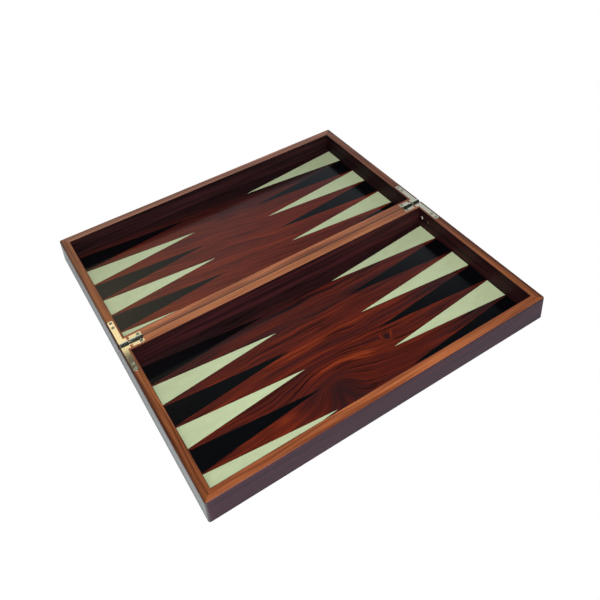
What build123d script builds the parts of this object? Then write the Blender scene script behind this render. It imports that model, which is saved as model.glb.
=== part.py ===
"""Folding wooden backgammon case, lying open: two shallow trays on two L-shaped corner hinges.

Millimetres. X runs along the hinge line, Y from the front edge of the base half to the back
edge of the lid half, Z up. The origin is on the table, straight below the middle of the
hinge line. The base half lies at negative Y. The lid half lies at positive Y and folds over
onto the base about an axis along X, just above the rims.

Each piece that both halves share is drawn once in the base half and mirrored for the lid.
"""
from build123d import *
import os

os.makedirs("parts", exist_ok=True)

# ---------------------------------------------------------------- driving dimensions
case_length = 482.0        # along the hinge line
half_depth = 241.0         # one half, from the hinge line to its outer edge
half_height = 35.0         # one half, from the table to its rim
seam_gap = 0.3             # between the two halves, open or shut

side_wall = 12.5           # finished wall widths seen on the rims
front_wall = 12.5
hinge_wall = 12.7
veneer = 0.6
panel_thickness = 2.0
rebate_width = 5.0         # how far the floor panel reaches into each rail
corner_radius = 3.0        # upright outer corners
rim_radius = 0.8           # outer top edge
seam_radius = 0.8          # top edge beside the seam
foot_radius = 0.4          # bottom edges
lining_joint = 0.05        # open joint between neighbouring lining strips

# Playing points: six spring from each short wall of a tray.
points_per_wall = 6
point_length = 173.0
point_base = 33.0
point_pitch = 34.6

# Corner hinges: an L-shaped leaf on each half and a barrel on the seam.
barrel_radius = 3.0
barrel_length = 30.3
barrel_setback = 2.5       # outer end of the barrel behind the outer face
barrel_room = 0.25         # free space round the barrel in its slot
knuckle_gap = 0.15
pin_radius = 1.2
pin_recess = 0.4           # pin ends inside the barrel ends
running_clearance = 0.05
leaf_thickness = 1.2
leaf_inset = 2.4           # from the outer face to the long leg
leg_width = 7.3            # long leg, on the side rail
long_leg_reach = 46.4      # from the hinge line
short_leg_reach = 9.2      # from the hinge line
leg_corner_radius = 2.0
inner_corner_radius = 0.8
notch_width = 3.4          # cut across the short leg and through the barrel
notch_from_leg = 3.9       # from the inner edge of the long leg to the notch
notch_neck = 1.0           # metal left between the notch and the barrel
recess_gap = 0.1           # routed recess round each leaf

# Countersunk wood screws in the leaves.
screw_shank_radius = 1.2
screw_head_radius = 2.3
screw_length = 10.0
screw_tip = 2.0
screw_slot_width = 0.6
screw_slot_length = 2.8
screw_slot_depth = 0.7
screw_clearance = 0.05
long_leg_screws = (34.0, 42.8)   # from the hinge line
short_leg_screw_from_end = 4.0
short_leg_screw_reach = 6.2      # from the hinge line

# Hidden closure magnets, let in from the inner face of the front rail.
magnet_radius = 4.0
magnet_length = 5.0
magnet_depth = 6.0         # centre below the rim
magnet_offset = 150.0      # either side of the middle

# Two domed pins on the right wall of the base.
stud_from_hinge = (20.5, 34.0)
stud_below_rim = 13.6
stud_head_radius = 2.8
stud_head_height = 1.4
stud_shank_radius = 1.0
stud_shank_length = 7.0

# ---------------------------------------------------------------- places that follow
half_length = case_length / 2
seam_edge = seam_gap / 2                         # back face of each hinge rail
floor_bottom = veneer                            # underside of the floor panel
floor_top = floor_bottom + panel_thickness
field_top = floor_top + veneer                   # playing surface

core_x = half_length - veneer                    # rails, without the outer facing
core_y = half_depth - veneer
opening_x = half_length - side_wall + veneer     # between the rails, behind the lining
opening_front = half_depth - front_wall + veneer
opening_hinge = hinge_wall - veneer
opening_depth = opening_front - opening_hinge
opening_middle = (opening_front + opening_hinge) / 2

row_length = (points_per_wall - 1) * point_pitch + point_base
row_margin = (half_depth - front_wall - hinge_wall - row_length) / 2
first_point = hinge_wall + row_margin + point_base / 2
point_tip = half_length - side_wall - point_length

hinge_height = half_height + seam_edge           # keeps the same gap when shut
barrel_outer = half_length - barrel_setback
barrel_inner = barrel_outer - barrel_length
slot_reach = barrel_radius + barrel_room
leaf_outer = half_length - leaf_inset
leaf_inner = leaf_outer - leg_width
leaf_underside = half_height - leaf_thickness
notch_outer = leaf_inner - notch_from_leg
notch_inner = notch_outer - notch_width
screw_places = [(leaf_inner + leg_width / 2, -reach) for reach in long_leg_screws]
screw_places.append((barrel_inner + short_leg_screw_from_end, -short_leg_screw_reach))
screw_head_height = screw_head_radius - screw_shank_radius
stud_wall = half_length - side_wall
stud_height = half_height - stud_below_rim
magnet_height = half_height - magnet_depth

front_to_back = Plane.XZ                         # mirror between base and lid
left_to_right = Plane.YZ                         # mirror between left and right


def save(shape, name):
    """Write one node."""
    shape.label = name
    export_step(shape, f"parts/{name}.step")


def save_both_halves(shape, name):
    """Write a piece of the base half and its mirror image in the lid half."""
    save(shape, f"base_{name}")
    with BuildPart() as lid_piece:
        mirror(shape, about=front_to_back)
    save(lid_piece.part, f"lid_{name}")


def footprint(reach_x, reach_y, radius):
    """Outline of the base half in plan, with its two front corners rounded."""
    with Locations((0, -(reach_y + seam_edge) / 2)):
        Rectangle(2 * reach_x, reach_y - seam_edge)
    front_corners = vertices().group_by(Axis.Y)[0]
    fillet(front_corners, radius=radius)


def point_outline(hand, number):
    """One long triangle, from the wall on side hand (+1 right, -1 left) towards the middle."""
    middle = -(first_point + number * point_pitch)
    Polygon(
        (hand * opening_x, middle - point_base / 2),
        (hand * opening_x, middle + point_base / 2),
        (hand * point_tip, middle),
        align=None,
    )


def leaf_outline():
    """Plan of the right-hand base leaf: a long and a short leg, with a notch in the short one."""
    notch_floor = -(slot_reach + notch_neck)
    Polygon(
        (leaf_outer, -slot_reach),
        (leaf_outer, -long_leg_reach),
        (leaf_inner, -long_leg_reach),
        (leaf_inner, -short_leg_reach),
        (notch_outer, -short_leg_reach),
        (notch_outer, notch_floor),
        (notch_inner, notch_floor),
        (notch_inner, -short_leg_reach),
        (barrel_inner, -short_leg_reach),
        (barrel_inner, -slot_reach),
        align=None,
    )
    leg_end = vertices().group_by(Axis.Y)[0]
    fillet(leg_end, radius=leg_corner_radius)
    inner_corner = vertices().sort_by_distance((leaf_inner, -short_leg_reach))[0]
    fillet(inner_corner, radius=inner_corner_radius)


# ---------------------------------------------------------------- shapes used as tools
# Rounded outer envelope of the base half; it eases every outer edge of the wooden pieces.
with BuildPart() as envelope:
    with BuildSketch():
        footprint(half_length, half_depth, corner_radius)
    extrude(amount=half_height)
    rim_edges = edges().group_by(Axis.Z)[-1]
    seam_rim_edge = rim_edges.sort_by(Axis.Y)[-1]
    fillet([edge for edge in rim_edges if edge != seam_rim_edge], radius=rim_radius)
    seam_rim_edge = edges().filter_by(Axis.X).group_by(Axis.Z)[-1].sort_by(Axis.Y)[-1]
    fillet(seam_rim_edge, radius=seam_radius)
    foot_edges = edges().group_by(Axis.Z)[0]
    fillet(foot_edges, radius=foot_radius)

# Everything the right-hand hinge needs cut out of the base half's rails.
with BuildPart() as hinge_cutter:
    with BuildSketch(Plane.XY.offset(leaf_underside)):
        leaf_outline()
        offset(amount=recess_gap)
    extrude(amount=leaf_thickness + veneer)
    with Locations((half_length, 0, half_height)):
        Box(
            2 * (barrel_length + barrel_setback + recess_gap),
            2 * slot_reach,
            2 * (slot_reach - seam_edge),
        )
    with Locations(*[(x, y, half_height) for x, y in screw_places]):
        Cylinder(
            screw_shank_radius + screw_clearance,
            screw_length + screw_clearance,
            align=(Align.CENTER, Align.CENTER, Align.MAX),
        )

with BuildPart() as left_hinge_cutter:
    mirror(hinge_cutter.part, about=left_to_right)

# Step round the inside of the rails that holds the floor panel.
with BuildPart() as rebate_cutter:
    with BuildSketch():
        with Locations((0, -opening_middle)):
            Rectangle(2 * (opening_x + rebate_width), opening_depth + 2 * rebate_width)
    extrude(amount=floor_top)

# ---------------------------------------------------------------- floor of a tray
with BuildPart() as underside_veneer:
    with BuildSketch():
        footprint(core_x, core_y, corner_radius - veneer)
    extrude(amount=veneer)
    seam_foot_edge = edges().group_by(Axis.Z)[0].sort_by(Axis.Y)[-1]
    fillet(seam_foot_edge, radius=foot_radius)
save_both_halves(underside_veneer.part, "underside_veneer")

with BuildPart() as floor_panel:
    with BuildSketch(Plane.XY.offset(floor_bottom)):
        with Locations((0, -opening_middle)):
            Rectangle(2 * (opening_x + rebate_width), opening_depth + 2 * rebate_width)
    extrude(amount=panel_thickness)
save_both_halves(floor_panel.part, "floor_panel")

with BuildPart() as field_veneer:
    with BuildSketch(Plane.XY.offset(floor_top)):
        with Locations((0, -opening_middle)):
            Rectangle(2 * opening_x, opening_depth)
        with BuildSketch(mode=Mode.SUBTRACT):
            for hand in (1, -1):
                for number in range(points_per_wall):
                    point_outline(hand, number)
    extrude(amount=veneer)
save_both_halves(field_veneer.part, "field_veneer")

# ---------------------------------------------------------------- inlaid points
for hand, hand_name in ((1, "right"), (-1, "left")):
    for number in range(points_per_wall):
        with BuildPart() as point:
            with BuildSketch(Plane.XY.offset(floor_top)):
                point_outline(hand, number)
            extrude(amount=veneer)
        save_both_halves(point.part, f"point_{hand_name}_{number + 1}")

# ---------------------------------------------------------------- rails, mitred at the corners
with BuildPart() as right_rail:
    with BuildSketch(Plane.XY.offset(floor_bottom)):
        Polygon(
            (core_x, -seam_edge),
            (core_x, -core_y),
            (opening_x, -opening_front),
            (opening_x, -opening_hinge),
            align=None,
        )
    extrude(amount=half_height - floor_bottom)
    with BuildSketch():
        footprint(core_x, core_y, corner_radius - veneer)
    extrude(amount=half_height, mode=Mode.INTERSECT)
    add(envelope.part, mode=Mode.INTERSECT)
    add(rebate_cutter.part, mode=Mode.SUBTRACT)
    add(hinge_cutter.part, mode=Mode.SUBTRACT)
plain_right_rail = right_rail.part

with BuildPart() as left_rail:
    mirror(plain_right_rail, about=left_to_right)
save_both_halves(left_rail.part, "left_rail")

# Only the base has the two domed pins, so only its right rail is drilled for them.
stud_places = [(stud_wall, -reach, stud_height) for reach in stud_from_hinge]

with BuildPart() as drilled_right_rail:
    add(plain_right_rail)
    for place in stud_places:
        with BuildSketch(Plane(origin=place, z_dir=(1, 0, 0))):
            Circle(stud_shank_radius)
        extrude(amount=stud_shank_length, mode=Mode.SUBTRACT)
save(drilled_right_rail.part, "base_right_rail")

with BuildPart() as lid_right_rail:
    mirror(plain_right_rail, about=front_to_back)
save(lid_right_rail.part, "lid_right_rail")

with BuildPart() as hinge_rail:
    with BuildSketch(Plane.XY.offset(floor_bottom)):
        Polygon(
            (core_x, -seam_edge),
            (opening_x, -opening_hinge),
            (-opening_x, -opening_hinge),
            (-core_x, -seam_edge),
            align=None,
        )
    extrude(amount=half_height - floor_bottom)
    add(envelope.part, mode=Mode.INTERSECT)
    add(rebate_cutter.part, mode=Mode.SUBTRACT)
    add(hinge_cutter.part, mode=Mode.SUBTRACT)
    add(left_hinge_cutter.part, mode=Mode.SUBTRACT)
save_both_halves(hinge_rail.part, "hinge_rail")

with BuildPart() as front_rail:
    with BuildSketch(Plane.XY.offset(floor_bottom)):
        Polygon(
            (core_x, -core_y),
            (-core_x, -core_y),
            (-opening_x, -opening_front),
            (opening_x, -opening_front),
            align=None,
        )
    extrude(amount=half_height - floor_bottom)
    with BuildSketch():
        footprint(core_x, core_y, corner_radius - veneer)
    extrude(amount=half_height, mode=Mode.INTERSECT)
    add(envelope.part, mode=Mode.INTERSECT)
    add(rebate_cutter.part, mode=Mode.SUBTRACT)
    with BuildSketch(Plane.XZ.offset(opening_front)):
        with Locations((magnet_offset, magnet_height), (-magnet_offset, magnet_height)):
            Circle(magnet_radius)
    extrude(amount=magnet_length, mode=Mode.SUBTRACT)
save_both_halves(front_rail.part, "outer_rail")

# ---------------------------------------------------------------- facing and lining
# One strip bent round the two outer corners covers the three outer faces.
with BuildPart() as outer_facing:
    with BuildSketch():
        footprint(half_length, half_depth, corner_radius)
        with BuildSketch(mode=Mode.SUBTRACT):
            footprint(core_x, core_y, corner_radius - veneer)
    extrude(amount=half_height)
    add(envelope.part, mode=Mode.INTERSECT)
    add(hinge_cutter.part, mode=Mode.SUBTRACT)
    add(left_hinge_cutter.part, mode=Mode.SUBTRACT)
save_both_halves(outer_facing.part, "outer_facing")

lining_height = half_height - field_top
side_strip_length = opening_depth - 2 * (veneer + lining_joint)

with BuildPart() as wall_lining:
    with BuildSketch(Plane.XY.offset(field_top)):
        with Locations((0, -opening_front + veneer / 2), (0, -opening_hinge - veneer / 2)):
            Rectangle(2 * opening_x, veneer)
        with Locations(
            (opening_x - veneer / 2, -opening_middle),
            (-opening_x + veneer / 2, -opening_middle),
        ):
            Rectangle(veneer, side_strip_length)
    extrude(amount=lining_height)
plain_lining = wall_lining.part

with BuildPart() as drilled_lining:
    add(plain_lining)
    for place in stud_places:
        with BuildSketch(Plane(origin=place, z_dir=(1, 0, 0))):
            Circle(stud_shank_radius)
        extrude(amount=stud_shank_length, mode=Mode.SUBTRACT)
save(drilled_lining.part, "base_wall_lining")

with BuildPart() as lid_lining:
    mirror(plain_lining, about=front_to_back)
save(lid_lining.part, "lid_wall_lining")

# ---------------------------------------------------------------- closure magnets and wall pins
with BuildPart() as closure_magnets:
    with BuildSketch(Plane.XZ.offset(opening_front)):
        with Locations((magnet_offset, magnet_height), (-magnet_offset, magnet_height)):
            Circle(magnet_radius)
    extrude(amount=magnet_length)
save_both_halves(closure_magnets.part, "closure_magnets")

with BuildPart() as wall_pins:
    for reach in stud_from_hinge:
        with BuildSketch(Plane.XY.offset(stud_height)):
            with BuildLine():
                crown = (stud_wall - stud_head_height, -reach)
                rim = (stud_wall, -reach + stud_head_radius)
                shank_end = (stud_wall + stud_shank_length, -reach)
                TangentArc(crown, rim, tangent=(0, 1))
                Polyline(
                    rim,
                    (stud_wall, -reach + stud_shank_radius),
                    (stud_wall + stud_shank_length, -reach + stud_shank_radius),
                    shank_end,
                    crown,
                )
            make_face()
        revolve(axis=Axis((0, -reach, stud_height), (1, 0, 0)))
save(wall_pins.part, "base_wall_pins")

# ---------------------------------------------------------------- hinges
base_knuckles = []         # outer and inner end of each
lid_knuckles = []
for outer_end, inner_end in ((barrel_outer, notch_outer), (notch_inner, barrel_inner)):
    meeting = (outer_end + inner_end) / 2
    base_knuckles.append((outer_end, meeting))
    lid_knuckles.append((meeting, inner_end))


def hinge_leaf(knuckles):
    """Right-hand base leaf carrying the given knuckles."""
    with BuildPart() as leaf:
        with BuildSketch(Plane.XY.offset(leaf_underside)):
            leaf_outline()
        extrude(amount=leaf_thickness)
        with Locations(*[(x, y, half_height) for x, y in screw_places]):
            CounterSinkHole(
                radius=screw_shank_radius + screw_clearance,
                counter_sink_radius=screw_head_radius + screw_clearance,
                counter_sink_angle=90,
                depth=2 * leaf_thickness,
            )
        for outer_end, inner_end in knuckles:
            middle = (outer_end + inner_end) / 2
            knuckle_length = outer_end - inner_end - 2 * knuckle_gap
            with Locations((middle, -slot_reach / 2, half_height)):
                Box(
                    knuckle_length,
                    slot_reach,
                    leaf_thickness,
                    align=(Align.CENTER, Align.CENTER, Align.MAX),
                )
            with Locations((middle, 0, hinge_height)):
                Cylinder(barrel_radius, knuckle_length, rotation=(0, 90, 0))
        with Locations((barrel_outer - barrel_length / 2, 0, hinge_height)):
            Cylinder(
                pin_radius + running_clearance,
                2 * barrel_length,
                rotation=(0, 90, 0),
                mode=Mode.SUBTRACT,
            )
    return leaf.part


with BuildPart() as base_right_leaf:
    add(hinge_leaf(base_knuckles))
save(base_right_leaf.part, "base_right_hinge_leaf")

with BuildPart() as base_left_leaf:
    mirror(base_right_leaf.part, about=left_to_right)
save(base_left_leaf.part, "base_left_hinge_leaf")

with BuildPart() as lid_right_leaf:
    mirror(hinge_leaf(lid_knuckles), about=front_to_back)
save(lid_right_leaf.part, "lid_right_hinge_leaf")

with BuildPart() as lid_left_leaf:
    mirror(lid_right_leaf.part, about=left_to_right)
save(lid_left_leaf.part, "lid_left_hinge_leaf")

with BuildPart() as right_pin:
    with Locations((barrel_outer - barrel_length / 2, 0, hinge_height)):
        Cylinder(pin_radius, barrel_length - 2 * pin_recess, rotation=(0, 90, 0))
save(right_pin.part, "right_hinge_pin")

with BuildPart() as left_pin:
    mirror(right_pin.part, about=left_to_right)
save(left_pin.part, "left_hinge_pin")

# ---------------------------------------------------------------- hinge screws
with BuildPart() as right_screws:
    with Locations(*[(x, y, half_height) for x, y in screw_places]):
        Cone(
            screw_shank_radius,
            screw_head_radius,
            screw_head_height,
            align=(Align.CENTER, Align.CENTER, Align.MAX),
        )
        Cylinder(
            screw_shank_radius,
            screw_length - screw_tip,
            align=(Align.CENTER, Align.CENTER, Align.MAX),
        )
    with Locations(*[(x, y, half_height - screw_length + screw_tip) for x, y in screw_places]):
        Cone(
            0,
            screw_shank_radius,
            screw_tip,
            align=(Align.CENTER, Align.CENTER, Align.MAX),
        )
    with Locations(*[(x, y, half_height) for x, y in screw_places]):
        for turn in (45, 135):
            Box(
                screw_slot_length,
                screw_slot_width,
                2 * screw_slot_depth,
                rotation=(0, 0, turn),
                mode=Mode.SUBTRACT,
            )
save_both_halves(right_screws.part, "right_hinge_screws")

with BuildPart() as left_screws:
    mirror(right_screws.part, about=left_to_right)
save_both_halves(left_screws.part, "left_hinge_screws")
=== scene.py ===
"""Looks for the folding backgammon case: wood, inlay, brass, camera and light round the CAD frame.

Blender units are metres; the shader graphs work in millimetres. X runs along the hinge line,
Y from the base half towards the lid half, Z up from the table. The frame's own nodes are kept
as they are: each gets a procedural material, and most get lightly eased edges.
"""
import bpy
import math
from mathutils import Matrix, Vector


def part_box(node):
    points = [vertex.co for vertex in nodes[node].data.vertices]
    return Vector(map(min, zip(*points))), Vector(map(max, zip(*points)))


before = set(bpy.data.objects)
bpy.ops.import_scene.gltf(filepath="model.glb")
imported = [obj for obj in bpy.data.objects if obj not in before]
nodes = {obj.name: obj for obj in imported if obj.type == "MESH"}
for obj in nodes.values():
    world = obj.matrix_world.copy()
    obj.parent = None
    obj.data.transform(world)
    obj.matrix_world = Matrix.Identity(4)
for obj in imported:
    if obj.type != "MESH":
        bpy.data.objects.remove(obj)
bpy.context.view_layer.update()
scene = bpy.context.scene

MM = 0.001
HALVES = ("base", "lid")
SIDES = ("left", "right")
POINTS_PER_WALL = 6

# ---------------------------------------------------------------- places taken from the frame
rim_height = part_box("base_outer_rail")[1].z
half_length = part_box("base_outer_facing")[1].x / MM
leaf_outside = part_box("lid_right_hinge_leaf")[1].x / MM
leaf_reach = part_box("lid_right_hinge_leaf")[1].y / MM
barrel_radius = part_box("base_right_hinge_leaf")[1].y / MM


# ---------------------------------------------------------------- shader graphs
class Graph:
    """Shader nodes by short names. Every input is either a socket or a plain value."""

    def __init__(self, tree):
        self.tree = tree
        tree.nodes.clear()

    def node(self, kind, **settings):
        made = self.tree.nodes.new("ShaderNode" + kind)
        for name, value in settings.items():
            setattr(made, name, value)
        return made

    def feed(self, socket, value):
        if isinstance(value, bpy.types.NodeSocket):
            self.tree.links.new(value, socket)
        elif socket.type == "RGBA" and len(value) == 3:
            socket.default_value = (*value, 1.0)
        else:
            socket.default_value = value

    def math(self, operation, a, b=0.0):
        made = self.node("Math", operation=operation)
        self.feed(made.inputs[0], a)
        self.feed(made.inputs[1], b)
        return made.outputs[0]

    def add(self, *terms):
        total = terms[0]
        for term in terms[1:]:
            total = self.math("ADD", total, term)
        return total

    def times(self, a, b):
        return self.math("MULTIPLY", a, b)

    def vector(self, x, y, z):
        made = self.node("CombineXYZ")
        for socket, value in zip(made.inputs, (x, y, z)):
            self.feed(socket, value)
        return made.outputs[0]

    def split(self, vector):
        made = self.node("SeparateXYZ")
        self.feed(made.inputs[0], vector)
        return made.outputs[0], made.outputs[1], made.outputs[2]

    def place(self):
        """Position in the frame in millimetres: x, y, z."""
        metres = self.node("TexCoord").outputs["Object"]
        scaled = self.node("VectorMath", operation="SCALE")
        self.feed(scaled.inputs[0], metres)
        self.feed(scaled.inputs["Scale"], 1 / MM)
        return self.split(scaled.outputs[0])

    def noise(self, spot, size, detail=2.0, roughness=0.5):
        """Smooth noise from 0 to 1 whose blotches measure size (three lengths) at spot."""
        cells = [self.math("DIVIDE", part, length) for part, length in zip(spot, size)]
        made = self.node("TexNoise")
        self.feed(made.inputs["Vector"], self.vector(*cells))
        self.feed(made.inputs["Scale"], 1.0)
        self.feed(made.inputs["Detail"], detail)
        self.feed(made.inputs["Roughness"], roughness)
        return made.outputs["Fac"]

    def wander(self, spot, size, reach, detail=1.0):
        """Noise centred on 0, about reach either way."""
        centred = self.math("SUBTRACT", self.noise(spot, size, detail), 0.5)
        return self.times(centred, 4 * reach)

    def ramp(self, value, stops):
        made = self.node("ValToRGB")
        elements = made.color_ramp.elements
        while len(elements) < len(stops):
            elements.new(0.5)
        for element, (place, colour) in zip(elements, stops):
            element.position = place
            element.color = (*colour, 1.0)
        self.feed(made.inputs[0], value)
        return made.outputs[0]

    def step(self, value, start, end):
        """0 at start, 1 at end, smooth between."""
        made = self.node("MapRange", interpolation_type="SMOOTHSTEP")
        self.feed(made.inputs[0], value)
        self.feed(made.inputs[1], min(start, end))
        self.feed(made.inputs[2], max(start, end))
        if start > end:
            return self.math("SUBTRACT", 1.0, made.outputs[0])
        return made.outputs[0]

    def hump(self, value, middle, width):
        """Bell curve: 1 at middle, fading over width."""
        away = self.math("DIVIDE", self.math("SUBTRACT", value, middle), width)
        return self.math("EXPONENT", self.times(self.times(away, away), -1.0))

    def mix(self, share, a, b):
        made = self.node("Mix", data_type="RGBA", clamp_factor=True)
        self.feed(made.inputs["Factor"], share)
        self.feed(made.inputs[6], a)
        self.feed(made.inputs[7], b)
        return made.outputs[2]

    def shade(self, colour, factor):
        """Colour darkened or lightened by a factor that may vary over the surface."""
        made = self.node("VectorMath", operation="SCALE")
        self.feed(made.inputs[0], colour)
        self.feed(made.inputs["Scale"], factor)
        return made.outputs[0]

    def edge(self, radius):
        """1 along edges of the piece within radius, 0 on its flat faces."""
        rounded = self.node("Bevel", samples=4)
        self.feed(rounded.inputs["Radius"], radius * MM)
        flat = self.node("NewGeometry").outputs["Normal"]
        turned = self.node("VectorMath", operation="DOT_PRODUCT")
        self.feed(turned.inputs[0], rounded.outputs[0])
        self.feed(turned.inputs[1], flat)
        return self.step(turned.outputs["Value"], 0.99, 0.85)

    def bump(self, height, distance):
        made = self.node("Bump")
        self.feed(made.inputs["Distance"], distance * MM)
        self.feed(made.inputs["Height"], height)
        return made.outputs["Normal"]

    def surface(self, **inputs):
        shader = self.node("BsdfPrincipled")
        for name, value in inputs.items():
            self.feed(shader.inputs[name.replace("_", " ")], value)
        self.feed(self.node("OutputMaterial").inputs["Surface"], shader.outputs[0])


def material(name):
    made = bpy.data.materials.new(name)
    made.use_nodes = True
    return made, Graph(made.node_tree)


def darker(colour, factor):
    return tuple(part * factor for part in colour)


# ---------------------------------------------------------------- wood
def lacquered(graph, colour, fibre, roughness, sheen=0.5):
    """Clear lacquer over wood; the grain telegraphs faintly through it."""
    graph.surface(
        Base_Color=colour,
        Roughness=graph.add(roughness, graph.times(fibre, 0.06)),
        IOR=1.5,
        Specular_IOR_Level=sheen,
        Normal=graph.bump(fibre, 0.02),
    )


def straight_grain(graph, spot, dark, light, band=8.0, contrast=1.0):
    """Colour and fibre of straight-grained wood; spot is (along, across, through) the grain."""
    along, across, through = spot
    across = graph.add(across, graph.wander(spot, (120.0, 40.0, 40.0), 2.0))
    spot = (along, across, through)
    bands = graph.wander(spot, (190.0, band, band), 1.0)
    streaks = graph.wander(spot, (80.0, 1.6, 1.6), 1.0, detail=2.0)
    fibre = graph.noise(spot, (9.0, 0.45, 0.45), 2.0, 0.6)
    tone = graph.add(0.5, graph.times(bands, 0.30 * contrast), graph.times(streaks, 0.24 * contrast))
    colour = graph.ramp(tone, [(0.1, dark), (0.9, light)])
    colour = graph.shade(colour, graph.add(0.84, graph.times(fibre, 0.32)))
    pores = graph.step(graph.noise(spot, (6.0, 0.5, 0.5), 1.0), start=0.6, end=0.72)
    return graph.mix(graph.times(pores, 0.4), colour, darker(dark, 0.4)), fibre


def rail_wood(name, axis, dark, light, seed, seam_shade=0.0, outer_shade=0.0, patches=()):
    """Rail with its grain along the given axis.

    seam_shade is how far in from the seam the rail darkens with painted shade, which ends in a
    near-black line of painted shade beside the gap. outer_shade is how far in from the outer side
    faces the top is stained dark; along the hinge leaves the narrow strip outside them is darker
    still with painted shade.
    patches are (place along the rail, half length, strength): lighter or darker stretches.
    """
    full_dark_within = 0.8
    leaf_end_fade = 3.0
    leaf_side_fade = 0.2
    made, graph = material(name)
    x, y, z = graph.place()
    along, across = (x, y) if axis == "X" else (y, x)
    spot = (graph.add(along, seed), across, z)
    colour, fibre = straight_grain(graph, spot, dark, light, contrast=1.5)
    for middle, half_reach, strength in patches:
        patch = graph.times(graph.hump(along, middle, half_reach), strength)
        colour = graph.shade(colour, graph.add(1.0, patch))
    if outer_shade:
        from_middle = graph.math("ABSOLUTE", x)
        from_seam = graph.math("ABSOLUTE", y)
        outside = graph.step(from_middle, half_length - outer_shade, half_length - full_dark_within)
        beside_leaf = graph.step(from_seam, leaf_reach + leaf_end_fade, leaf_reach)
        strip = graph.step(from_middle, leaf_outside - leaf_side_fade, leaf_outside + leaf_side_fade)
        # The outer strip of the top is stained dark; beside the hinge leaves, painted shade darkens
        # it further.
        stain_and_leaf_shade = graph.add(0.55, graph.times(graph.times(beside_leaf, strip), 0.35))
        colour = graph.shade(colour, graph.math("SUBTRACT", 1.0, graph.times(outside, stain_and_leaf_shade)))
    worn = graph.times(graph.edge(radius=0.5), 0.3)
    colour = graph.mix(worn, colour, light)
    roughness = 0.2
    if seam_shade:
        from_seam = graph.math("ABSOLUTE", y)
        # Painted shade along the seam: a broad darkening into the rail and a near-black line beside
        # the gap.
        painted_seam_shade = graph.add(
            graph.times(graph.step(from_seam, start=seam_shade, end=0.0), 0.45),
            graph.times(graph.step(from_seam, start=0.75, end=0.45), 0.45),
        )
        colour = graph.mix(painted_seam_shade, colour, darker(dark, 0.12))
        roughness = graph.add(roughness, graph.times(painted_seam_shade, 0.5))
    lacquered(graph, colour, fibre, roughness)
    return made


def veneer_wood(name, dark, light, roughness, seed, sheen=0.5, side_wall_painted_shade=1.0, rough_rim=0.0):
    """Straight-grained veneer: the grain runs level along each wall, and along X on flat faces.

    The side-wall factor scales the colour of the walls that face along X, as painted shade where
    it is below 1; rough_rim is how much duller the wall grows from rim_start to rim_end, measured
    down from the rim.
    """
    rim_start, rim_end = 16.0, 3.0
    made, graph = material(name)
    x, y, z = graph.place()
    facing_x, _, facing_z = graph.split(graph.node("NewGeometry").outputs["Normal"])
    side_wall = graph.step(graph.math("ABSOLUTE", facing_x), start=0.4, end=0.6)
    flat = graph.step(graph.math("ABSOLUTE", facing_z), start=0.6, end=0.8)
    across = graph.add(z, graph.times(y, flat))
    along_x = graph.times(x, graph.math("SUBTRACT", 1.0, side_wall))
    along = graph.add(along_x, graph.times(y, side_wall), seed)
    colour, fibre = straight_grain(graph, (along, across, seed), dark, light, band=6.0, contrast=1.5)
    # Painted shade: the walls that face along X take the side-wall factor on their colour.
    colour = graph.shade(colour, graph.add(1.0, graph.times(side_wall, side_wall_painted_shade - 1.0)))
    rim = graph.step(z, rim_height / MM - rim_start, rim_height / MM - rim_end)
    lacquered(graph, colour, fibre, graph.add(roughness, graph.times(rim, rough_rim)), sheen)
    return made


def ellipse(graph, x, y, centre_x, centre_y, half_long, half_wide):
    """0 at the centre, 1 on an ellipse round it, growing outwards."""
    across = graph.math("DIVIDE", graph.math("SUBTRACT", x, centre_x), half_long)
    up = graph.math("DIVIDE", graph.math("SUBTRACT", y, centre_y), half_wide)
    return graph.math("SQRT", graph.add(graph.times(across, across), graph.times(up, up)))


# Rosewood from its darkest streaks (0) to its lightest (1)
ROSEWOOD_STOPS = [
    (0.0, (0.015, 0.0066, 0.0075)),
    (0.35, (0.034, 0.0085, 0.0085)),
    (0.62, (0.084, 0.0112, 0.0065)),
    (0.85, (0.150, 0.0190, 0.0065)),
    (1.0, (0.25, 0.036, 0.010)),
]
GLUE_COLOUR = (0.003, 0.001, 0.001)


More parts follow.
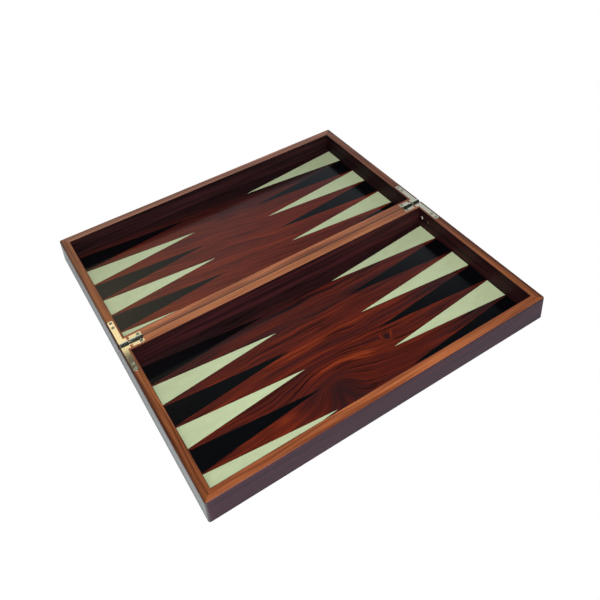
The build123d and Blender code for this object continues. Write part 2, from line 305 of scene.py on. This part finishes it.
def field_wood(name, seed, slope, tone, figure=1.0, arches=(), knots=(), flames_and_wall_shade=()):
    """Figured rosewood veneer. Its colour follows the grain level: Y, sloped and made wavy.

    figure is how strongly the grain stands out.
    arches are (x, y, half length, half width, rise): places where the grain lines bulge up.
    knots are (x, y, half length, half width, heart, halo): places where the lines close into
    rings, and how much lighter or darker their middle and the ring round it are.
    flames are (x, level, half length, half width, strength): patches along the grain, light
    where the strength is positive and dark where it is negative. The full-width dark bands along
    the base's hinge wall and the lid's far wall are partly darker figure and partly painted shade.
    """
    made, graph = material(name)
    x, y, _ = graph.place()
    plane = (x, y, seed)
    x = graph.add(x, graph.wander(plane, (34.0, 30.0, 1.0), 2.5))
    y = graph.add(
        y,
        graph.wander(plane, (45.0, 25.0, 1.0), 1.2),
        graph.wander(plane, (9.0, 6.0, 1.0), 0.25),
    )
    level = graph.add(y, graph.times(x, slope), graph.wander(plane, (110.0, 50.0, 1.0), 4.0))
    for *oval, rise in arches:
        swell = graph.hump(ellipse(graph, x, y, *oval), 0.0, 1.0)
        level = graph.add(level, graph.times(swell, -rise))
    rings = 0.0
    for *oval, heart, halo in knots:
        away = ellipse(graph, x, y, *oval)
        away = graph.add(away, graph.wander(plane, (13.0, 11.0, 1.0), 0.12))
        ring_level = graph.add(oval[1], graph.times(away, oval[3]))
        near_knot = graph.step(away, start=1.9, end=0.8)
        level = graph.add(level, graph.times(near_knot, graph.math("SUBTRACT", ring_level, level)))
        eye = graph.times(graph.step(away, start=1.15, end=0.35), heart)
        ring = graph.times(graph.hump(away, middle=1.35, width=0.22), halo)
        rings = graph.add(rings, eye, ring)
    grain = (x, level, seed)
    tone = graph.add(
        tone,
        rings,
        graph.wander(grain, (260.0, 15.0, 1.0), 0.20 * figure),
        graph.wander(grain, (130.0, 4.0, 1.0), 0.17 * figure, detail=2.0),
        graph.wander(grain, (60.0, 1.4, 1.0), 0.16 * figure, detail=2.0),
    )
    for *oval, strength in flames_and_wall_shade:
        patch = graph.hump(ellipse(graph, x, level, *oval), 0.0, 1.0)
        tone = graph.add(tone, graph.times(patch, strength))
    colour = graph.ramp(tone, ROSEWOOD_STOPS)
    for spacing, reach, depth in ((7.0, 320.0, 0.65), (2.6, 140.0, 0.5)):
        ridge = graph.math("SUBTRACT", graph.noise(grain, (reach, spacing, 1.0), 1.0), 0.5)
        line = graph.step(graph.math("ABSOLUTE", ridge), start=0.04, end=0.0)
        strength = graph.step(graph.noise(grain, (80.0, 12.0, 3.0), 1.0), start=0.32, end=0.55)
        ink = graph.times(graph.times(line, strength), depth * figure)
        colour = graph.shade(colour, graph.math("SUBTRACT", 1.0, ink))
    fibre = graph.noise(grain, (7.0, 0.5, 1.0), 2.0, 0.6)
    colour = graph.shade(colour, graph.add(0.7, graph.times(fibre, 0.6)))
    glue_line = graph.times(graph.edge(radius=0.6), 0.85)
    colour = graph.mix(glue_line, colour, GLUE_COLOUR)
    lacquered(graph, colour, fibre, roughness=0.12)
    return made


def dyed_veneer(name, colour, mottle):
    """Dyed inlay: even colour, faintly clouded, with a fine fleck along the grain."""
    made, graph = material(name)
    spot = graph.place()
    clouds = graph.wander(spot, (14.0, 7.0, 7.0), mottle, detail=2.0)
    fibre = graph.noise(spot, (3.0, 0.5, 0.5), 3.0, 0.65)
    fleck = graph.times(graph.math("SUBTRACT", fibre, 0.5), 1.5 * mottle)
    lacquered(graph, graph.shade(colour, graph.add(1.0, clouds, fleck)), fibre, roughness=0.12)
    return made


# ---------------------------------------------------------------- metal
RUBBED_METAL = (0.95, 0.92, 0.85)
DULLED_METAL = (0.12, 0.06, 0.045)


def metal(name, colour, roughness, tarnish, barrel=None, dull_from=None):
    """Plated metal: fine brushing, small tarnished patches, rubbed bright edges.

    barrel is the colour of the rolled knuckles along the hinge line, which are rougher; where they
    face -Y, painted shade makes them nearly black. dull_from is the Y below which the metal is
    coloured dull brown.
    """
    barrel_fade = 0.3
    dull_fade = 1.0
    made, graph = material(name)
    spot = graph.place()
    brushing = graph.noise(spot, (5.0, 0.2, 0.2), 2.0)
    patches = graph.step(graph.noise(spot, (5.0, 4.0, 4.0), 3.0, 0.6), start=0.5, end=0.8)
    colour = graph.mix(graph.times(patches, 0.5), colour, tarnish)
    colour = graph.mix(graph.times(graph.edge(radius=0.25), 0.5), colour, RUBBED_METAL)
    rough = graph.add(roughness, graph.times(brushing, 0.02), graph.times(patches, 0.05))
    if barrel:
        from_axis = graph.math("ABSOLUTE", spot[1])
        on_barrel = graph.step(from_axis, barrel_radius + barrel_fade, barrel_radius)
        facing_y = graph.split(graph.node("NewGeometry").outputs["Normal"])[1]
        # Painted shade: the knuckles' sides that face -Y are coloured nearly black.
        unshaded_far_side = graph.step(facing_y, start=-0.28, end=-0.10)
        colour = graph.mix(on_barrel, colour, graph.mix(unshaded_far_side, darker(barrel, 0.04), barrel))
        rough = graph.add(rough, graph.times(on_barrel, 0.42))
    if dull_from:
        dulled = graph.step(spot[1], dull_from + dull_fade, dull_from)
        colour = graph.mix(dulled, colour, DULLED_METAL)
    graph.surface(
        Base_Color=colour, Metallic=1.0, Roughness=rough, Normal=graph.bump(brushing, 0.0012)
    )
    return made


# ---------------------------------------------------------------- the materials of this case
base_field = field_wood(
    "base_field_wood", seed=3.0, slope=0.0, tone=0.62,
    arches=[(-16.0, -168.0, 66.0, 42.0, 19.0), (-36.0, -186.0, 24.0, 22.0, 20.0)],
    knots=[(57.5, -154.0, 6.5, 6.0, -0.32, 0.18)],
    flames_and_wall_shade=[
        (-14.0, -170.0, 46.0, 4.5, 0.55),
        (12.0, -173.0, 15.0, 5.0, 0.40),
        (-112.0, -186.0, 16.0, 4.0, 0.35),
        (-10.0, -104.0, 110.0, 13.0, 0.16),
        (-20.0, -47.0, 60.0, 5.0, 0.12),
        # Full-width dark band along the hinge wall: partly darker figure, partly painted shade.
        (0.0, -10.0, 600.0, 34.0, -0.55),
        (-36.0, -208.0, 30.0, 20.0, -0.28),
        (-76.0, -197.0, 26.0, 9.0, -0.30),
        (-140.0, -163.0, 24.0, 7.0, 0.18),
        (-102.0, -50.0, 40.0, 7.0, 0.12),
        (106.0, -121.0, 40.0, 9.0, 0.20),
        (192.0, -189.0, 34.0, 6.0, -0.35),
        (150.0, -120.0, 60.0, 70.0, -0.12),
    ],
)
lid_field = field_wood(
    "lid_field_wood", seed=9.0, slope=0.13, tone=0.76, figure=0.6,
    flames_and_wall_shade=[
        # Full-width dark band towards the far wall: partly darker figure, partly painted shade.
        (0.0, 238.0, 600.0, 44.0, -0.75),
        (110.0, 198.0, 60.0, 4.0, 0.12),
        (-90.0, 24.0, 110.0, 14.0, 0.12),
        (0.0, 10.0, 600.0, 6.0, -0.35),
    ],
)
MATERIALS = {
    "base_outer_rail": rail_wood(
        "front_rail_wood", "X", dark=(0.18, 0.043, 0.014), light=(0.48, 0.145, 0.050), seed=31.0,
        patches=[(190.0, 75.0, -0.25), (-170.0, 60.0, -0.10)],
    ),
    # The back rail is paler and bluer than the front rail: partly its own tone, partly painted sheen
    # from the bright low surroundings.
    "lid_outer_rail": rail_wood(
        "back_rail_wood_and_painted_sheen", "X", dark=(0.20, 0.070, 0.038), light=(0.46, 0.190, 0.106), seed=46.0,
        patches=[(-150.0, 110.0, -0.20)],
    ),
    "base_hinge_rail": rail_wood(
        "base_hinge_rail_wood", "X", dark=(0.22, 0.064, 0.024), light=(0.49, 0.182, 0.074),
        seed=57.0, seam_shade=1.8,
    ),
    "lid_hinge_rail": rail_wood(
        "lid_hinge_rail_wood", "X", dark=(0.18, 0.05, 0.02), light=(0.43, 0.15, 0.065),
        seed=83.0, seam_shade=6.0,
    ),
    "side_rail": rail_wood(
        "side_rail_wood", "Y", dark=(0.105, 0.026, 0.008), light=(0.34, 0.108, 0.034),
        seed=77.0, outer_shade=5.0,
    ),
    "outer_facing": veneer_wood(
        "facing_wood", dark=(0.028, 0.004, 0.011), light=(0.068, 0.011, 0.024),
        roughness=0.12, seed=12.0, rough_rim=0.18,
    ),
    # One lining veneer: the base's copy is lighter than the lid's, as painted light on the base's
    # walls.
    "base_wall_lining": veneer_wood(
        "base_lining_wood", dark=(0.012, 0.004, 0.005), light=(0.080, 0.018, 0.019),
        roughness=0.5, seed=5.0, sheen=0.08, side_wall_painted_shade=0.5,
    ),
    "lid_wall_lining": veneer_wood(
        "lid_lining_wood", dark=(0.008, 0.0035, 0.004), light=(0.048, 0.014, 0.015),
        roughness=0.5, seed=8.0, sheen=0.08, side_wall_painted_shade=0.6,
    ),
    "floor_panel": veneer_wood(
        "panel_wood", dark=(0.30, 0.17, 0.09), light=(0.50, 0.33, 0.20), roughness=0.5, seed=50.0
    ),
    "underside_veneer": field_wood(
        "underside_wood", seed=64.0, slope=0.04, tone=0.50, figure=0.8,
        arches=[(90.0, 60.0, 120.0, 50.0, 22.0), (-60.0, -90.0, 130.0, 50.0, -20.0)],
    ),
    "light_point": dyed_veneer("light_point_veneer", (0.505, 0.575, 0.345), mottle=0.05),
    "dark_point": dyed_veneer("dark_point_veneer", (0.0008, 0.0012, 0.0020), mottle=0.3),
    "brass": metal(
        "hinge_brass", (0.92, 0.84, 0.64), roughness=0.025, tarnish=(0.78, 0.68, 0.46),
        barrel=(0.82, 0.86, 0.66),
    ),
    "screw": metal("screw_brass", (0.45, 0.45, 0.34), roughness=0.5, tarnish=(0.3, 0.28, 0.19)),
    "pin": metal("pin_steel", (0.20, 0.19, 0.15), roughness=0.4, tarnish=(0.12, 0.10, 0.08)),
    "steel": metal("bright_steel", (0.75, 0.72, 0.68), roughness=0.2, tarnish=(0.5, 0.42, 0.36)),
    "wall_pin": metal(
        "wall_pin_nickel", (0.9, 0.78, 0.74), roughness=0.35, tarnish=(0.7, 0.6, 0.56),
        dull_from=-28.0,
    ),
}


# ---------------------------------------------------------------- give each node its material
# Widths of the eased edges, in millimetres
WOOD_EASE = 0.1
PIN_EASE = 0.1
LEAF_EASE = 0.08
SCREW_EASE = 0.05
WELD_REACH = 0.002


def dress(node_name, made, ease_width=None):
    """Sets a CAD node's material, and eases its edges by modifiers if given a width.

    The mesh itself is not touched. The side rails get no width, because the shortest edges of
    their hinge recesses leave no room for one.
    """
    piece = nodes[node_name]
    for slot in piece.material_slots:
        slot.material = made
    if ease_width:
        weld = piece.modifiers.new("weld", "WELD")
        weld.merge_threshold = WELD_REACH * MM
        ease = piece.modifiers.new("ease", "BEVEL")
        ease.width = ease_width * MM
        ease.segments = 2
        ease.limit_method = "ANGLE"
        ease.angle_limit = math.radians(35)
        ease.harden_normals = True


for half in HALVES:
    dress(f"{half}_outer_rail", MATERIALS[f"{half}_outer_rail"], WOOD_EASE)
    dress(f"{half}_hinge_rail", MATERIALS[f"{half}_hinge_rail"], WOOD_EASE)
    dress(f"{half}_outer_facing", MATERIALS["outer_facing"], WOOD_EASE)
    dress(f"{half}_wall_lining", MATERIALS[f"{half}_wall_lining"], WOOD_EASE)
    dress(f"{half}_floor_panel", MATERIALS["floor_panel"])
    dress(f"{half}_underside_veneer", MATERIALS["underside_veneer"], WOOD_EASE)
    dress(f"{half}_closure_magnets", MATERIALS["steel"], PIN_EASE)
    for side in SIDES:
        first_is_dark = (half == "base") == (side == "left")
        for number in range(1, POINTS_PER_WALL + 1):
            dark = (number % 2 == 1) == first_is_dark
            dress(f"{half}_point_{side}_{number}", MATERIALS["dark_point" if dark else "light_point"])
        dress(f"{half}_{side}_rail", MATERIALS["side_rail"])
        dress(f"{half}_{side}_hinge_leaf", MATERIALS["brass"], LEAF_EASE)
        dress(f"{half}_{side}_hinge_screws", MATERIALS["screw"], SCREW_EASE)
dress("base_field_veneer", base_field)
dress("lid_field_veneer", lid_field)
for side in SIDES:
    dress(f"{side}_hinge_pin", MATERIALS["pin"], PIN_EASE)
dress("base_wall_pins", MATERIALS["wall_pin"])


# ---------------------------------------------------------------- floor
# The sheet lies this many millimetres below the case
FLOOR_GAP = 0.1


def pale_floor():
    """Plain sheet: clean white to the camera; it throws most light on the case from its left."""
    reach = 12.0  # metres
    fade = 10.0
    made, graph = material("floor_white")
    left_of_case = graph.step(graph.place()[0], -half_length + fade, -half_length - fade)
    bounce = graph.node("BsdfDiffuse")
    graph.feed(bounce.inputs["Color"], graph.mix(left_of_case, (0.44, 0.44, 0.48), (1.0, 1.13, 1.08)))
    paper = graph.node("Emission")
    graph.feed(paper.inputs["Strength"], 1.0)
    choose = graph.node("MixShader")
    graph.feed(choose.inputs[0], graph.node("LightPath").outputs["Is Camera Ray"])
    graph.feed(choose.inputs[1], bounce.outputs[0])
    graph.feed(choose.inputs[2], paper.outputs[0])
    graph.feed(graph.node("OutputMaterial").inputs["Surface"], choose.outputs[0])
    corners = [(-reach, -reach, 0), (reach, -reach, 0), (reach, reach, 0), (-reach, reach, 0)]
    mesh = bpy.data.meshes.new("floor")
    mesh.from_pydata(corners, [], [(0, 1, 2, 3)])
    mesh.materials.append(made)
    sheet = bpy.data.objects.new("floor", mesh)
    sheet.location.z = -FLOOR_GAP * MM
    scene.collection.objects.link(sheet)


# ---------------------------------------------------------------- light
def toward(azimuth, elevation):
    """Unit vector towards a direction in degrees; azimuth 0 is +Y and 90 is +X."""
    turn, rise = math.radians(azimuth), math.radians(elevation)
    return Vector((math.sin(turn) * math.cos(rise), math.cos(turn) * math.cos(rise), math.sin(rise)))


def soft_light(name, azimuth, elevation, distance, size, radiance):
    """Square soft light facing the middle of the case."""
    lamp = bpy.data.lights.new(name, "AREA")
    lamp.size = size
    lamp.energy = radiance * math.pi * size ** 2
    holder = bpy.data.objects.new(name, lamp)
    away = toward(azimuth, elevation)
    holder.location = away * distance
    holder.rotation_euler = away.to_track_quat("Z", "Y").to_euler()
    scene.collection.objects.link(holder)


def studio_surroundings():
    """Dim room, bright low down; azimuth and elevation are in degrees, as in toward().

    Higher up there is a warm window past the left hinge, a cool wall past the right one, and a
    faint patch of sky between them.
    """
    world = bpy.data.worlds.new("studio")
    scene.world = world
    world.use_nodes = True
    graph = Graph(world.node_tree)
    x, y, z = graph.split(graph.node("TexCoord").outputs["Generated"])
    azimuth = graph.math("DEGREES", graph.math("ARCTAN2", x, y))
    elevation = graph.math("DEGREES", graph.math("ARCSINE", z))
    pane = graph.add(0.25, graph.times(graph.step(elevation, start=40.5, end=44.0), 0.75))
    pane = graph.times(pane, graph.step(elevation, start=47.8, end=47.2))
    above = graph.times(graph.step(elevation, start=56.5, end=48.0), 0.13)
    window = graph.times(graph.hump(azimuth, middle=2.0, width=15.5), graph.add(pane, above))
    wall = graph.times(
        graph.hump(azimuth, middle=43.0, width=9.0),
        graph.hump(elevation, middle=39.2, width=4.5),
    )
    sky = graph.times(
        graph.hump(azimuth, middle=22.0, width=8.0),
        graph.hump(elevation, middle=39.5, width=8.0),
    )
    low_down = graph.add(0.03, graph.times(graph.step(elevation, start=37.3, end=33.2), 0.80))
    light = graph.shade((0.88, 0.97, 1.05), low_down)
    for colour, share in (
        ((1.1, 0.96, 0.64), window),
        ((0.46, 0.49, 0.54), wall),
        ((0.22, 0.27, 0.33), sky),
    ):
        total = graph.node("VectorMath", operation="ADD")
        graph.feed(total.inputs[0], light)
        graph.feed(total.inputs[1], graph.shade(colour, share))
        light = total.outputs[0]
    background = graph.node("Background")
    graph.feed(background.inputs["Color"], light)
    graph.feed(graph.node("OutputWorld").inputs["Surface"], background.outputs[0])


pale_floor()
soft_light("key", azimuth=-153.0, elevation=62.0, distance=1.1, size=0.6, radiance=9.4)
studio_surroundings()


# ---------------------------------------------------------------- camera
def photo_camera():
    """Camera at the left front corner, looking down across the open case."""
    lens = bpy.data.cameras.new("camera")
    lens.sensor_width = 36.0
    lens.lens = 45.04
    lens.shift_x = 0.0344
    lens.shift_y = -0.2942
    lens.clip_start = 0.05
    camera = bpy.data.objects.new("camera", lens)
    aim = toward(azimuth=28.602, elevation=-33.094).to_track_quat("-Z", "Y").to_matrix().to_4x4()
    roll = Matrix.Rotation(math.radians(-5.111), 4, "Z")
    spot = Matrix.Translation((-0.3501, -0.6682, rim_height + 0.7257))
    camera.matrix_world = spot @ aim @ roll
    scene.collection.objects.link(camera)
    scene.camera = camera


photo_camera()
scene.view_settings.view_transform = "Standard"
